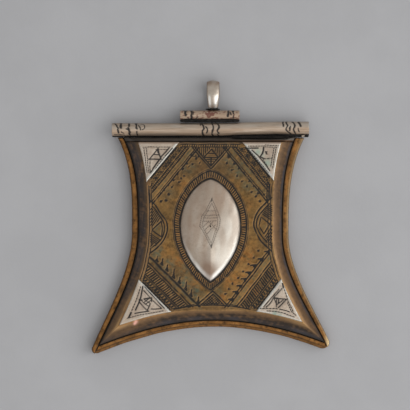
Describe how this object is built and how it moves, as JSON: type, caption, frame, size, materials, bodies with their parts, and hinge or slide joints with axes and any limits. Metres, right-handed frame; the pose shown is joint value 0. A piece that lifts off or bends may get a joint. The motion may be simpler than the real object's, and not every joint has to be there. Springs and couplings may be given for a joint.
{
  "type": "amulet box pendant",
  "caption": "Flat metal amulet box with flared lower corners, rim strips, corner plates and an almond boss; its cap, with tubes and an upright loop, pulls off.",
  "frame": {"origin": "on the flat back of the box, below the middle of the face, where the part lies on a surface", "axes": "+Z out of the decorated face, +Y towards the loop, +X to the right seen from the front"},
  "size_m": [0.0785, 0.0903, 0.0104],
  "materials": {
    "brass": "satin",
    "face_brass": "satin",
    "silver": "satin",
    "dark_metal": "satin",
    "black_metal": "matte",
    "paper": "matte",
    "leather": "matte",
    "thread": "matte"
  },
  "bodies": {
    "box": {"back_plate": "brass", "rim_left": "brass", "rim_right": "brass", "rim_bottom": "brass", "front_shell": "face_brass", "corner_plate_top_left": "silver", "corner_plate_top_right": "silver", "corner_plate_bottom_left": "silver", "corner_plate_bottom_right": "silver", "boss_dome": "silver", "paper_charm": "paper", "charm_wrap": "leather", "charm_tie_upper": "thread", "charm_tie_lower": "thread"},
    "cap": {"cap_closure": "dark_metal", "cap_sleeve": "brass", "cap_spine": "black_metal", "cap_tube": "silver", "hanger_tube": "silver", "hanger_saddle": "black_metal", "bail_loop": "silver"}
  },
  "joints": [
    {"name": "cap_slide", "type": "slide", "parent": "box", "child": "cap", "axis": [0, 1, 0], "range_m": [0, 0.012]}
  ]
}
